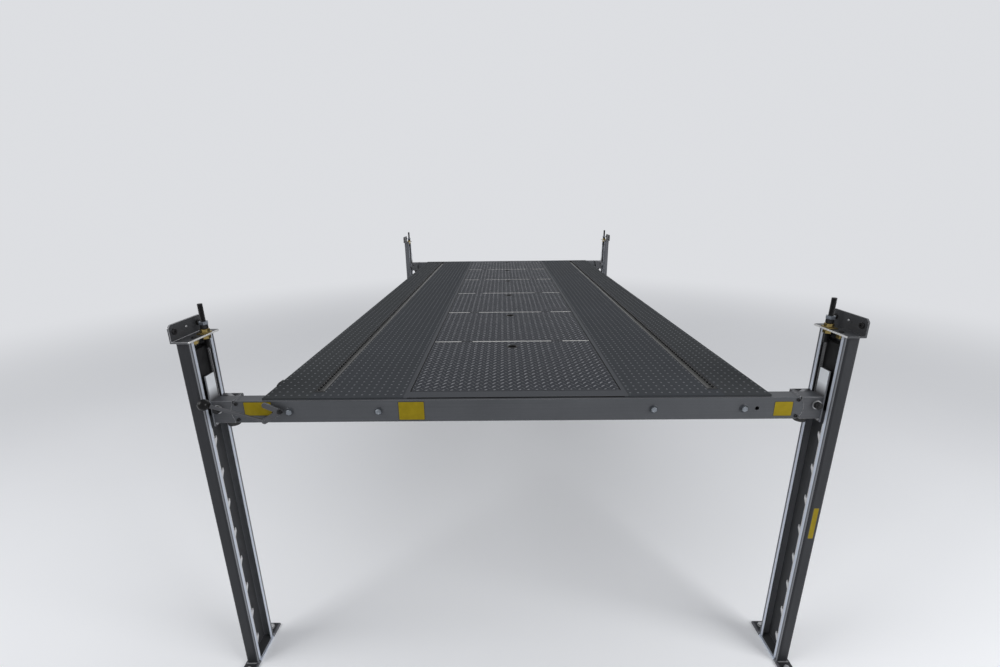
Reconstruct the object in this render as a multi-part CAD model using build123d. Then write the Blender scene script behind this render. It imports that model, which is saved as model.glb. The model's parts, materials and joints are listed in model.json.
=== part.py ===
from build123d import *
import os

os.makedirs("parts", exist_ok=True)

# A four-post platform lift that carries a second car inside an enclosed car transporter.
# Millimetres. X is across, Y runs to the rear and Z is up. The origin is on the floor,
# under the middle of the deck. The deck stands raised, as it does when it carries a car.

# Deck
inch = 25.4
deck_width = 72 * inch
deck_length = 148 * inch
deck_to_wall = 9.5 * inch
deck_top = 1220.0
deck_plate = 5.0
runway_width = 20 * inch
edge_flange_drop = 40.0
end_strip = 2 * inch
side_strip = 16.4
seat_gap = 0.3

# Lift-out centre panels
panel_count = 6
panel_gap = 10.0
panel_side_gap = 5.0
finger_hole = 45.0
finger_hole_from_edge = 80.0
ledge_width = 20.0
ledge_thickness = 6.0
bearer_x = 225.0
bearer_width = 50.0
bearer_height = 40.0
bearer_wall = 4.0

# Tie-down tracks let into the runways, outboard of the middle between the rails
track_offset = 78.0
track_width = 38.0
track_depth = 14.0
track_wall = 3.0
track_end_inset = 15.0
track_end_hole = 16.0

# Cross beams and the rails between them
beam_height = 84.0
beam_depth = 2 * inch
beam_wall = 5.0
beam_lead = 12.4
beam_end_bulge = 19.0
cable_hole = 15.0
cable_hole_offset = 51.0
inner_rail_inset = 82.0
outer_rail_inset = 103.0
rail_width = 50.0
rail_wall = 4.0
cross_member_width = 50.0
cross_member_height = 28.0
cross_member_count = 5
notch_clearance = 1.0

# Posts
post_width = 142.0
post_depth = 46.0
post_wall = 5.0
post_opening = 88.0
post_corner = 10.0
post_top = 1446.0
post_stand_off = 6.0
foot_thickness = 10.0
foot_length = 244.0
foot_lead = 6.0
foot_bolt_spacing = 200.0
foot_bolt_hole = 14.0

# Brackets on the post tops
bracket_length = 168.0
bracket_overhang = 12.0
bracket_thickness = 6.0
bracket_rise = 64.0
bracket_corner = 10.0
bracket_lip_corner = 3.0
bracket_hole = 12.0
bracket_hole_spacing = 124.0
bracket_hole_height = 38.0
spacer_height = 46.0
spacer_width = 80.0

# Lift cables, their sheaves and their anchors
cable_diameter = 9.5
cable_y = 24.0
cable_past_box = 11.0
sheave_radius = 32.0
sheave_rim = 1.0
sheave_width = 16.0
axle_drop = 30.0
pin_diameter = 16.0
pin_clearance = 0.3
axle_nut = 30.0
axle_nut_height = 18.0
stud_diameter = 18.0
stud_hole_clearance = 1.0
stud_below = 46.0
stud_above = 116.0
nut_across_flats = 27.0
nut_height = 13.0
jam_nut_height = 27.0
washer = (36.0, 46.0)
washer_thickness = 5.0

# End boxes on the beams
end_gap = 11.0
end_box_depth = 76.0
end_box_length = 75.7
end_box_wall = 5.0
beam_into_box = 8.0
cheek_seam = 1.0
sheave_slot = (13.0, 35.0)

# Carriages that run in the posts, and their plastic slide blocks
carriage_y = (-37.0, 9.0)
carriage_thickness = 6.0
carriage_rise = 96.0
carriage_drop = 15.0
carriage_hole = 9.0
neck_y = (-22.0, 9.0)
web_y = (-20.0, -12.0)
web_start = 60.0
block_rise = 192.0
block_start = 24.0
block_clearance = 1.0
block_lip_gap = 2.0
block_slot_margin = 5.0
block_edge = 6.0

# Lock racks and the dogs that drop onto them
rack_strip = 3.0
tooth_reach = 15.0
tooth_height = 36.0
tooth_tip = 10.0
tooth_pitch = 135.0
tooth_count = 8
lowest_tooth = 130.0
dog_thickness = 12.0
dog_from_end = 68.7
dog_pivot_drop = 17.0
dog_boss = 11.0
dog_reach = 64.0
dog_tip = 10.0
dog_pin = 12.0

# Rubber bumpers
bumper_from_end = 46.7
bumper_diameter = 62.0
bumper_tip = 44.0
bumper_height = 25.0

# Drive under the left runway
cylinder_diameter = 38.0
cylinder_length = 1300.0
cylinder_start = 250.0
cover_thickness = 2.0
cover_length = 1700.0
cover_start = 150.0
cover_flange = 20.0

# Release lever at the front left corner: places inboard of the end box and above its bottom
lever_thickness = 6.0
lever_stand_off = 11.0
lever_width = 20.0
lever_tip = (124.0, 74.0)
lever_pivot = (175.0, 50.0)
lever_heel = (114.0, 12.0)
lever_pin = 12.0
lever_rod = 12.0
knob_diameter = 40.0
knob_past_box = 57.0
knob_lead = 30.0
knob_rise = 101.0

# Port bracket on the left edge, behind the front beam
port_bracket_start = 16.0
port_bracket_length = 140.0
port_bracket_reach = 26.0
port_bracket_thickness = 4.0
port_bracket_drop = 26.0
port_length = 45.0
port_diameter = 20.0

# Places worked out from the sizes above
half_width = deck_width / 2
half_length = deck_length / 2
plate_bottom = deck_top - deck_plate
runway_inner_x = half_width - runway_width
panel_pitch = (deck_length - 2 * end_strip) / panel_count
panel_field = panel_count * panel_pitch
panel_half_width = runway_inner_x - side_strip - panel_side_gap
beam_top = plate_bottom
beam_bottom = beam_top - beam_height
beam_middle = (beam_top + beam_bottom) / 2
beam_front = half_length + beam_lead
beam_back = beam_front - beam_depth
post_y = beam_front - end_box_depth / 2
inner_rail_x = runway_inner_x + inner_rail_inset
outer_rail_x = half_width - outer_rail_inset
track_end = beam_back - track_end_inset
track_x = (inner_rail_x + outer_rail_x) / 2 + track_offset
wall_x = half_width + deck_to_wall
post_back_x = wall_x - post_stand_off
post_face_x = post_back_x - post_depth
post_middle_x = post_face_x + post_depth / 2
end_box_outer_x = post_face_x - end_gap
end_box_inner_x = end_box_outer_x - end_box_length
cheek_inside = end_box_depth / 2 - end_box_wall
arc_reach = end_box_inner_x + beam_into_box
arc_radius = ((beam_height / 2) ** 2 + beam_end_bulge**2) / (2 * beam_end_bulge)
arc_centre = (arc_reach - arc_radius, beam_middle)
cable_radius = cable_diameter / 2
cable_x = end_box_outer_x + cable_past_box
axle_x = cable_x - sheave_radius
axle_z = beam_top - axle_drop
carriage_face_x = end_box_outer_x
neck_face_x = carriage_face_x + carriage_thickness
block_face_x = post_face_x + post_wall + block_lip_gap
dog_x = end_box_outer_x - dog_from_end
bracket_inner_x = post_face_x - bracket_overhang

corners = [  # name, side across, side along
    ("front_left", -1, -1),
    ("front_right", 1, -1),
    ("rear_left", -1, 1),
    ("rear_right", 1, 1),
]


def block(x, y, z):
    """A box between two X values, two Y values and two Z values."""
    size = (x[1] - x[0], y[1] - y[0], z[1] - z[0])
    return Pos((x[0] + x[1]) / 2, (y[0] + y[1]) / 2, (z[0] + z[1]) / 2) * Box(*size)


def rod(start, end, radius):
    """A round bar from one point to another."""
    axis = Vector(*end) - Vector(*start)
    return extrude(Plane(origin=start, z_dir=axis) * Circle(radius), axis.length)


def facing_front(y):
    """A plane at one Y value that is drawn on in X and Z, and extrudes to the front."""
    return Plane(origin=(0, y, 0), x_dir=(1, 0, 0), z_dir=(0, -1, 0))


def at_corner(shape, across, along):
    """Moves a piece, drawn for the front right post with Y from the post's centre, to a corner."""
    placed = Pos(0, -post_y, 0) * shape
    if across < 0:
        placed = mirror(placed, about=Plane.YZ)
    if along > 0:
        placed = mirror(placed, about=Plane.XZ)
    return placed


def save(name, *pieces):
    """Writes one node, made of one or more separate solids."""
    solids = [solid for piece in pieces for solid in piece.solids()]
    shape = solids[0] if len(solids) == 1 else Compound(children=solids)
    export_step(shape, f"parts/{name}.step")


# Posts

def post():
    """A lipped channel that opens towards the deck, on its foot plate."""
    outline = Rectangle(post_depth, post_width)
    outline = fillet(outline.vertices(), post_corner)
    hollow = Rectangle(post_depth - 2 * post_wall, post_width - 2 * post_wall)
    mouth = Pos(-post_depth / 2, 0) * Rectangle(3 * post_wall, post_opening)
    section = Pos(post_middle_x, 0, foot_thickness) * (outline - hollow - mouth)
    channel = extrude(section, post_top - foot_thickness)
    foot_y = (-foot_length / 2, foot_length / 2)
    foot = block((post_face_x - foot_lead, wall_x), foot_y, (0, foot_thickness))
    for side in (-1, 1):
        drill = Pos(post_middle_x, side * foot_bolt_spacing / 2, 0)
        foot -= drill * Cylinder(foot_bolt_hole / 2, 4 * foot_thickness)
    return channel + foot


def top_bracket():
    """An angle on the post's top, with a leg against the wall and a spacer behind the post."""
    flat = Rectangle(wall_x - bracket_inner_x, bracket_length)
    flat = chamfer(flat.vertices().sort_by(Axis.X)[:2], bracket_lip_corner)
    plate = extrude(Pos((wall_x + bracket_inner_x) / 2, 0, post_top) * flat, bracket_thickness)
    drill = Cylinder(stud_diameter / 2 + stud_hole_clearance, 4 * bracket_thickness)
    plate -= Pos(cable_x, cable_y, post_top) * drill
    leg = Pos(0, bracket_rise / 2) * Rectangle(bracket_length, bracket_rise)
    leg = chamfer(leg.vertices().sort_by(Axis.Y)[-2:], bracket_corner)
    for side in (-1, 1):
        leg -= Pos(side * bracket_hole_spacing / 2, bracket_hole_height) * Circle(bracket_hole / 2)
    spacer = Pos(0, -spacer_height / 2) * Rectangle(spacer_width, spacer_height)
    wall_plane = Plane(origin=(post_back_x, 0, post_top), x_dir=(0, 1, 0), z_dir=(1, 0, 0))
    return plate + extrude(wall_plane * (leg + spacer), post_stand_off)


def lock_rack():
    """A ratchet bar on the channel's lip, with hooked teeth that point up."""
    edge = -post_opening / 2
    x = (post_face_x, post_face_x + post_wall)
    low = lowest_tooth - tooth_height
    high = lowest_tooth + (tooth_count - 1) * tooth_pitch + tooth_height
    rack = block(x, (edge, edge + rack_strip), (low, high))
    side = Plane(origin=(post_face_x, 0, 0), x_dir=(0, 1, 0), z_dir=(1, 0, 0))
    tip = edge + tooth_reach
    for index in range(tooth_count):
        top = lowest_tooth + index * tooth_pitch
        tooth = Polygon(
            (edge, top - tooth_height),
            (edge + rack_strip, top - tooth_height),
            (tip, top - 1.5 * tooth_tip),
            (tip, top),
            (tip - tooth_tip / 2, top - tooth_tip / 2),
            (edge, top - tooth_tip),
            align=None,
        )
        rack += extrude(side * tooth, post_wall)
    return rack


for name, shape in (("post", post()), ("top_bracket", top_bracket()), ("lock_rack", lock_rack())):
    for corner, across, along in corners:
        save(f"{name}_{corner}", at_corner(shape, across, along))


# Anchors and cables

def anchor_stud():
    """The threaded stud on the cable's end, with a jam nut on it."""
    low = post_top - stud_below
    stud = rod((cable_x, cable_y, low), (cable_x, cable_y, post_top + stud_above), stud_diameter / 2)
    jam_low = post_top + bracket_thickness + washer_thickness + nut_height + seat_gap
    hexagon = RegularPolygon(nut_across_flats / 2, 6, major_radius=False)
    return stud + extrude(Pos(cable_x, cable_y, jam_low) * hexagon, jam_nut_height)


def anchor_nuts():
    """A nut under the bracket, and a washer and a nut on top of it."""
    hexagon = RegularPolygon(nut_across_flats / 2, 6, major_radius=False)
    hole = Circle(stud_diameter / 2)
    above = post_top + bracket_thickness
    under = extrude(Pos(cable_x, cable_y, post_top - nut_height) * (hexagon - hole), nut_height)
    over = extrude(Pos(cable_x, cable_y, above) * (Rectangle(*washer) - hole), washer_thickness)
    over += extrude(Pos(cable_x, cable_y, above + washer_thickness) * (hexagon - hole), nut_height)
    return [under, over]


def lift_cable():
    """The straight run of cable from the sheave up to the anchor stud."""
    low = axle_z + seat_gap
    return rod((cable_x, cable_y, low), (cable_x, cable_y, post_top - stud_below), cable_radius)


def cable_wrap():
    """The cable's quarter turn under the sheave, and its run in to the runway's rail."""
    rope = RegularPolygon(cable_radius, 6)
    wheel = Plane(origin=(axle_x, cable_y, axle_z), x_dir=(1, 0, 0), z_dir=(0, 0, 1))
    axle = Axis((axle_x, cable_y, axle_z), (0, 1, 0))
    turn = revolve(wheel * Pos(sheave_radius, 0) * rope, axle, 90)
    low = (axle_x, cable_y, axle_z - sheave_radius)
    inward = Plane(origin=low, x_dir=(0, 0, 1), z_dir=(-1, 0, 0))
    return turn + extrude(inward * rope, axle_x - outer_rail_x - rail_width / 2)


for name, shapes in (
    ("anchor_studs", [anchor_stud()]),
    ("anchor_nuts", anchor_nuts()),
    ("lift_cables", [lift_cable()]),
    ("cable_wraps", [cable_wrap()]),
):
    save(name, *[at_corner(shape, across, along) for shape in shapes for _, across, along in corners])


# Cross beams with their end boxes

def beam():
    """The front beam's tube, whose front and rear walls end in an arc."""
    bulge = Pos(*arc_centre) * Circle(arc_radius)
    outline = Pos(0, beam_middle) * Rectangle(2 * (arc_reach - beam_end_bulge), beam_height)
    band = Pos(0, beam_middle) * Rectangle(2 * arc_reach, beam_height)
    ends = (bulge + mirror(bulge, about=Plane.YZ)) & band
    tube = extrude(facing_front(-beam_back) * (outline + ends), beam_depth)
    tube -= block(
        (-arc_reach - 1, arc_reach + 1),
        (-beam_front + beam_wall, -beam_back - beam_wall),
        (beam_bottom + beam_wall, beam_top - beam_wall),
    )
    hole = Pos(outer_rail_x + cable_hole_offset, beam_middle) * Circle(cable_hole / 2)
    return tube - extrude(facing_front(-beam_front + 2 * beam_wall) * hole, 3 * beam_wall)


def end_box():
    """Two cheeks joined above and below, with a slot over the sheave."""
    half = end_box_depth / 2
    across = (end_box_inner_x, end_box_outer_x)
    side = Pos(sum(across) / 2, beam_middle) * Rectangle(end_box_length, beam_height)
    side -= Pos(*arc_centre) * Circle(arc_radius + cheek_seam)
    side -= Pos(axle_x, axle_z) * Circle(pin_diameter / 2 + pin_clearance)
    box = extrude(facing_front(-cheek_inside) * side, end_box_wall)
    box += mirror(box, about=Plane.XZ)
    box += block(across, (-half, half), (beam_bottom, beam_bottom + end_box_wall))
    box += block(across, (-half, half), (beam_top - end_box_wall, beam_top))
    slot_x = (axle_x - sheave_radius - 2 * end_box_wall, end_box_outer_x + 1)
    return box - block(slot_x, sheave_slot, (beam_top - end_box_wall - 1, beam_top + 1))


def carriage():
    """The plate on the end box that runs along the post's mouth, on a web from inside the beam."""
    plate_z = (beam_bottom - carriage_drop, beam_top + carriage_rise)
    plate = block((carriage_face_x, neck_face_x), carriage_y, plate_z)
    hole_place = Pos(carriage_face_x, carriage_y[0] + carriage_hole, beam_bottom - carriage_drop / 3)
    plate -= hole_place * Rot(0, 90, 0) * Cylinder(carriage_hole / 2, 4 * carriage_thickness)
    inside_z = (beam_bottom + end_box_wall, beam_top - end_box_wall)
    web = block((end_box_inner_x - web_start, end_box_outer_x), web_y, inside_z)
    drill = Pos(axle_x, 0, axle_z) * Rot(90, 0, 0)
    web -= drill * Cylinder(pin_diameter / 2 + pin_clearance, end_box_depth)
    return plate + web


def slide_block():
    """The plastic block inside the post, on a neck through the mouth, slotted for the cable."""
    half = post_width / 2 - post_wall - block_clearance
    x = (block_face_x, post_back_x - post_wall - block_clearance)
    z = (beam_bottom + block_start, beam_top + block_rise)
    body = chamfer(block(x, (-half, half), z).edges().filter_by(Axis.Z), block_edge)
    slot_half = sheave_width / 2 + block_slot_margin
    slot_x = (x[0] - 1, cable_x + stud_diameter / 2 + block_slot_margin)
    body -= block(slot_x, (cable_y - slot_half, cable_y + slot_half), (z[0] - 1, z[1] + 1))
    return body + block((neck_face_x, block_face_x), neck_y, (z[0], beam_top + carriage_rise))


def sheave():
    """A wheel with a V groove, on a pin that goes through both cheeks and has a nut in front."""
    half = sheave_width / 2
    rim = sheave_radius + sheave_rim
    groove = sheave_radius - 2 * (cable_radius + pin_clearance)
    profile = Polygon((0, -half), (rim, -half), (groove, 0), (rim, half), (0, half), align=None)
    middle = Plane(origin=(axle_x, cable_y, axle_z), x_dir=(1, 0, 0), z_dir=(0, 0, 1))
    wheel = revolve(middle * profile, Axis((axle_x, cable_y, axle_z), (0, 1, 0)))
    face = end_box_depth / 2
    pin = rod((axle_x, -face, axle_z), (axle_x, face, axle_z), pin_diameter / 2)
    nut = Pos(axle_x, axle_z) * RegularPolygon(axle_nut / 2, 12)
    return wheel + pin + extrude(facing_front(-face) * nut, axle_nut_height)


def lock_dog():
    """A dog held clear of the rack, on its pin between the front cheek and the web."""
    pivot_z = beam_top - dog_pivot_drop
    tip_x = dog_x + dog_reach
    arm = Polygon(
        (dog_x, pivot_z - dog_boss),
        (tip_x, pivot_z + dog_boss - dog_tip),
        (tip_x, pivot_z + dog_boss),
        (dog_x, pivot_z + dog_boss),
        align=None,
    )
    outline = Pos(dog_x, pivot_z) * Circle(dog_boss) + arm
    dog = extrude(facing_front(-cheek_inside + dog_thickness) * outline, dog_thickness)
    return dog + rod((dog_x, -cheek_inside, pivot_z), (dog_x, web_y[0], pivot_z), dog_pin / 2)


def bumper():
    """A tapered rubber stop under the end box."""
    place = Pos(end_box_outer_x - bumper_from_end, 0, beam_bottom - bumper_height / 2)
    return place * Cone(bumper_tip / 2, bumper_diameter / 2, bumper_height)


save("beam_front", beam())
save("beam_rear", mirror(beam(), about=Plane.XZ))
for name, shape in (("end_box", end_box()), ("carriage", carriage())):
    for corner, across, along in corners:
        save(f"{name}_{corner}", at_corner(shape, across, along))
for name, shape in (
    ("slide_blocks", slide_block()),
    ("sheaves", sheave()),
    ("lock_dogs", lock_dog()),
    ("bumpers", bumper()),
):
    save(name, *[at_corner(shape, across, along) for _, across, along in corners])


# Deck frame

def tube_along(x, width, z, wall):
    """A rectangular tube between the beams."""
    outside = block((x - width / 2, x + width / 2), (-beam_back, beam_back), z)
    inside = block(
        (x - width / 2 + wall, x + width / 2 - wall),
        (-beam_back - 1, beam_back + 1),
        (z[0] + wall, z[1] - wall),
    )
    return outside - inside


def runway_frame():
    """Two rails between the beams, with cross members that are notched for the track."""
    frame = Part()
    for x in (inner_rail_x, outer_rail_x):
        frame += tube_along(x, rail_width, (beam_bottom, beam_top), rail_wall)
    inner = (inner_rail_x + rail_width / 2, outer_rail_x - rail_width / 2)
    notch_half = track_width / 2 + notch_clearance
    notch_low = deck_top - track_depth - track_wall - notch_clearance
    spacing = 2 * beam_back / (cross_member_count + 1)
    for index in range(cross_member_count):
        y = -beam_back + (index + 1) * spacing
        member_y = (y - cross_member_width / 2, y + cross_member_width / 2)
        member = block(inner, member_y, (beam_top - cross_member_height, beam_top))
        notch_x = (track_x - notch_half, track_x + notch_half)
        member -= block(notch_x, (member_y[0] - 1, member_y[1] + 1), (notch_low, deck_top))
        frame += member
    return frame


def runway():
    """A tread plate with the track's slot and a flange turned down along its outer edge."""
    plate = block((runway_inner_x, half_width), (-half_length, half_length), (plate_bottom, deck_top))
    slot_x = (track_x - track_width / 2, track_x + track_width / 2)
    plate -= block(slot_x, (-track_end, track_end), (plate_bottom - 1, deck_top + 1))
    flange_x = (half_width - deck_plate, half_width)
    return plate + block(flange_x, (-beam_back, beam_back), (deck_top - edge_flange_drop, plate_bottom))


def track():
    """A channel let in flush with the runway, with an open hole at each end."""
    half = track_width / 2
    low = deck_top - track_depth - track_wall
    channel = block((track_x - half, track_x + half), (-track_end, track_end), (low, deck_top))
    channel -= block(
        (track_x - half + track_wall, track_x + half - track_wall),
        (-track_end - 1, track_end + 1),
        (deck_top - track_depth, deck_top + 1),
    )
    for side in (-1, 1):
        drill = Pos(track_x, side * (track_end - track_end_hole), low)
        channel -= drill * Cylinder(track_end_hole / 2, 4 * track_wall)
    return channel


def centre_frame():
    """The flush rim round the centre panels, with the ledges that carry their sides."""
    inner_x = runway_inner_x - side_strip
    rim_x = (-runway_inner_x, runway_inner_x)
    rim = block(rim_x, (-half_length, half_length), (plate_bottom, deck_top))
    field = (-panel_field / 2, panel_field / 2)
    rim -= block((-inner_x, inner_x), field, (plate_bottom - 1, deck_top + 1))
    ledge_x = (inner_x - ledge_width, inner_rail_x - rail_width / 2)
    ledge = block(ledge_x, (-beam_back, beam_back), (plate_bottom - ledge_thickness, plate_bottom))
    return rim + ledge + mirror(ledge, about=Plane.YZ)


def bearer():
    """A bar under the centre panels, from beam to beam."""
    return tube_along(bearer_x, bearer_width, (beam_top - bearer_height, beam_top), bearer_wall)


def panel(index):
    """A lift-out plate with a finger hole near its rear edge."""
    front = -panel_field / 2 + index * panel_pitch + panel_gap / 2
    rear = front + panel_pitch - panel_gap
    lid_x = (-panel_half_width, panel_half_width)
    lid = block(lid_x, (front, rear), (plate_bottom + seat_gap, deck_top))
    return lid - Pos(0, rear - finger_hole_from_edge, deck_top) * Cylinder(finger_hole / 2, 4 * deck_plate)


for name, shape in (("runway_frame", runway_frame()), ("runway", runway()), ("track", track())):
    save(f"{name}_right", shape)
    save(f"{name}_left", mirror(shape, about=Plane.YZ))
save("centre_frame", centre_frame())
save("bearers", bearer(), mirror(bearer(), about=Plane.YZ))
for index in range(panel_count):
    save(f"panel_{index + 1}", panel(index))


# Drive under the left runway

drive_x = -(inner_rail_x + outer_rail_x) / 2
cover_top = beam_bottom + cover_thickness
cylinder_z = cover_top + seat_gap + cylinder_diameter / 2
cylinder_front = (drive_x, -beam_back + cylinder_start, cylinder_z)
cylinder_rear = (drive_x, -beam_back + cylinder_start + cylinder_length, cylinder_z)
save("hydraulic_cylinder", rod(cylinder_front, cylinder_rear, cylinder_diameter / 2))

cover_x = (-outer_rail_x + rail_width / 2, -inner_rail_x - rail_width / 2)
cover_y = (-beam_back + cover_start, -beam_back + cover_start + cover_length)
cover = block(cover_x, cover_y, (beam_bottom, beam_bottom + cover_flange))
cover -= block(
    (cover_x[0] + cover_thickness, cover_x[1] - cover_thickness),
    (cover_y[0] - 1, cover_y[1] + 1),
    (cover_top, beam_bottom + cover_flange + 1),
)
save("drive_cover", cover)


# Release lever

def lever_place(place):
    """The X and Z of a place on the lever."""
    return (-end_box_inner_x + place[0], beam_bottom + place[1])


lever_y = -beam_front - lever_stand_off
pivot = lever_place(lever_pivot)
heel = lever_place(lever_heel)
outline = Sketch()
for start, end in ((lever_place(lever_tip), pivot), (pivot, heel)):
    caps = [Pos(*place) * Circle(lever_width / 2) for place in (start, end)]
    outline += make_hull([edge for cap in caps for edge in cap.edges()])
lever = extrude(facing_front(lever_y) * outline, lever_thickness)
lever += rod((pivot[0], -beam_front, pivot[1]), (pivot[0], lever_y, pivot[1]), lever_pin / 2)
knob_y = -post_y - post_width / 2 - knob_lead
knob_centre = (-end_box_inner_x - knob_past_box, knob_y, beam_bottom + knob_rise)
heel_start = (heel[0], lever_y - lever_thickness / 2, heel[1])
lever += rod(heel_start, knob_centre, lever_rod / 2)
radius = knob_diameter / 2
flat = 0.4 * radius
ball = Polygon(
    (0, -radius),
    (flat, -radius),
    (radius, -flat),
    (radius, flat),
    (flat, radius),
    (0, radius),
    align=None,
)
knob_plane = Plane(origin=knob_centre, x_dir=(1, 0, 0), z_dir=(0, 0, 1))
knob = revolve(knob_plane * ball, Axis(knob_centre, (0, 1, 0)))
save("release_lever", lever - knob)
save("lever_knob", knob)


# Port bracket on the left edge

port_y = (-beam_back + port_bracket_start, -beam_back + port_bracket_start + port_bracket_length)
shelf_top = deck_top - port_bracket_drop
shelf_z = (shelf_top - port_bracket_thickness, shelf_top)
back_x = (-half_width - port_bracket_thickness, -half_width)
port_bracket = block((-half_width - port_bracket_reach, -half_width), port_y, shelf_z)
port_bracket += block(back_x, port_y, (shelf_z[0], plate_bottom))
save("port_bracket", port_bracket)
port_place = (back_x[0] - port_diameter / 2, shelf_top + port_diameter / 2)
port_start = (port_place[0], port_y[1] - port_length, port_place[1])
port_end = (port_place[0], port_y[1], port_place[1])
save("port_fitting", rod(port_start, port_end, port_diameter / 2))
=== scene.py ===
import json
import math

import bpy
from mathutils import Matrix, Vector

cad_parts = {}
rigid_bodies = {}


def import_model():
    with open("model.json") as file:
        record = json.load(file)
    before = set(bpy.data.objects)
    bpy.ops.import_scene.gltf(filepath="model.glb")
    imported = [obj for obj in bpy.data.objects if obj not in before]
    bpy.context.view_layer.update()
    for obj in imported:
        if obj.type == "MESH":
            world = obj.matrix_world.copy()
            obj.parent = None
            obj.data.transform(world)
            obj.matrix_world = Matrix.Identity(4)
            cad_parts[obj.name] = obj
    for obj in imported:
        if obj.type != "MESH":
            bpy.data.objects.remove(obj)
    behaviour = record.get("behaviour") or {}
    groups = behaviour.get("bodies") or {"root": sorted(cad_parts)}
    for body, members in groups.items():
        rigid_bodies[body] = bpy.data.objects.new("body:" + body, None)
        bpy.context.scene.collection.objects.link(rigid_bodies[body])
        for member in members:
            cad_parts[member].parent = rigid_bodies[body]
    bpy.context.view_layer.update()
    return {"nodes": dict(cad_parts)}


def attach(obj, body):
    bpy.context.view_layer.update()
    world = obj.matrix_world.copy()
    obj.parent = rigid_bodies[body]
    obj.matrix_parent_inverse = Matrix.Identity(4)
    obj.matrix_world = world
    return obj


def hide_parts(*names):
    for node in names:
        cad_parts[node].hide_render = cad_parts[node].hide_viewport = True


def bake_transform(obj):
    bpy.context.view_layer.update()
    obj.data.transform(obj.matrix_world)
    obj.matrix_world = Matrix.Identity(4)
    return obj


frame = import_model()

# The four posts: C channels of drawn aluminium that open towards the deck, each welded on a
# foot plate. Fine lines from the die run up every face. The insides are painted lighter as painted
# light, the lips carry painted highlight bands, and the front posts are darkened as painted shade.
mm = 0.001
post_y = 1854 * mm
post_half = 71 * mm
post_lip_x = 1104.9 * mm
flange_inside = 66.5 * mm
web_inside_x = 1146.5 * mm
lip_reach = 80 * mm
lip_highlight_tones = (
    (56 * mm, (0.70, 0.75, 0.84, 1)), (57.5 * mm, (0.09, 0.09, 0.10, 1)),
    (60 * mm, (0.09, 0.09, 0.10, 1)), (62 * mm, (0.28, 0.29, 0.315, 1)),
    (68 * mm, (0.20, 0.205, 0.22, 1)), (71 * mm, (0.09, 0.09, 0.10, 1)),
)
corners = {
    "front_left": (-1, -1),
    "front_right": (1, -1),
    "rear_left": (-1, 1),
    "rear_right": (1, 1),
}


class Signal:
    """A value that runs between the nodes of a finish; a sum written with it adds Math nodes."""

    def __init__(self, finish, socket):
        self.finish = finish
        self.socket = socket

    def sum(self, operation, first, second):
        return self.finish.node("Math", {"operation": operation}, {0: first, 1: second})

    def __add__(self, other):
        return self.sum("ADD", self, other)

    def __sub__(self, other):
        return self.sum("SUBTRACT", self, other)

    def __rsub__(self, other):
        return self.sum("SUBTRACT", other, self)

    def __mul__(self, other):
        return self.sum("MULTIPLY", self, other)

    def __gt__(self, other):
        return self.sum("GREATER_THAN", self, other)

    def __lt__(self, other):
        return self.sum("LESS_THAN", self, other)

    def __abs__(self):
        return self.finish.node("Math", {"operation": "ABSOLUTE"}, {0: self})

    __radd__ = __add__
    __rmul__ = __mul__


class Finish:
    """The surface of one kind of stock, built up node by node."""

    def __init__(self, name, metallic, rough, shine=0.5):
        self.material = bpy.data.materials.new(name)
        self.material.use_nodes = True
        self.tree = self.material.node_tree
        self.shader = self.tree.nodes["Principled BSDF"]
        self.shader.inputs["Metallic"].default_value = metallic
        self.shader.inputs["Roughness"].default_value = rough
        self.shader.inputs["Specular IOR Level"].default_value = shine
        self.place = self.node("TexCoord", {}, {}, "Object")

    def node(self, kind, settings, sockets, output=0):
        """Adds a node: its settings first, then the values or links of its sockets."""
        node = self.tree.nodes.new("ShaderNode" + kind)
        for key, value in settings.items():
            if key == "stops":
                node.color_ramp.elements.remove(node.color_ramp.elements[1])
                node.color_ramp.elements[0].position = value[0][0]
                node.color_ramp.elements[0].color = value[0][1]
                for place, colour in value[1:]:
                    node.color_ramp.elements.new(place).color = colour
            else:
                setattr(node, key, value)
        for key, value in sockets.items():
            if isinstance(value, Signal):
                self.tree.links.new(value.socket, node.inputs[key])
            else:
                node.inputs[key].default_value = value
        return Signal(self, node.outputs[output])

    def place_on(self, axis):
        """A point's place along X, Y or Z, in metres."""
        return self.node("SeparateXYZ", {}, {0: self.place}, "XYZ".index(axis))

    def across(self, axis="X"):
        """How far a point stands from the middle of the deck, whichever way."""
        return abs(self.place_on(axis))

    def cloud(self, size, detail=3.0):
        """Soft patches of about that size, from 0 to 1."""
        sockets = {"Vector": self.place, "Scale": 1 / size, "Detail": detail}
        return self.node("TexNoise", {}, sockets)

    def lines(self, along, pitch):
        """Fine lines that run the way a piece was drawn, rolled or brushed."""
        stretch = [1 / pitch] * 3
        stretch["XYZ".index(along)] = 0.004 / pitch
        place = self.node("VectorMath", {"operation": "MULTIPLY"}, {0: self.place, 1: stretch})
        return self.node("TexNoise", {}, {"Vector": place, "Scale": 1.0, "Detail": 2.0})

    def blend(self, share, dull, bright):
        """A colour between two, each a link or a red, green and blue."""
        ends = [value if isinstance(value, Signal) else (*value, 1) for value in (dull, bright)]
        return self.node("Mix", {"data_type": "RGBA"}, {0: share, 6: ends[0], 7: ends[1]}, 2)

    def feed(self, **links):
        """Links signals to the shader's sockets."""
        for key, value in links.items():
            self.tree.links.new(value.socket, self.shader.inputs[key.replace("_", " ")])

    def stain(self, where, colour):
        """Gives another colour to the places that a mask picks out."""
        self.feed(Base_Color=self.blend(where, self.tone, colour))

    def relief(self, height, depth, strength=1.0):
        """Fine surface relief of that depth, in metres."""
        bump = {"Strength": strength, "Distance": depth, "Height": height}
        self.feed(Normal=self.node("Bump", {}, bump))


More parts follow.
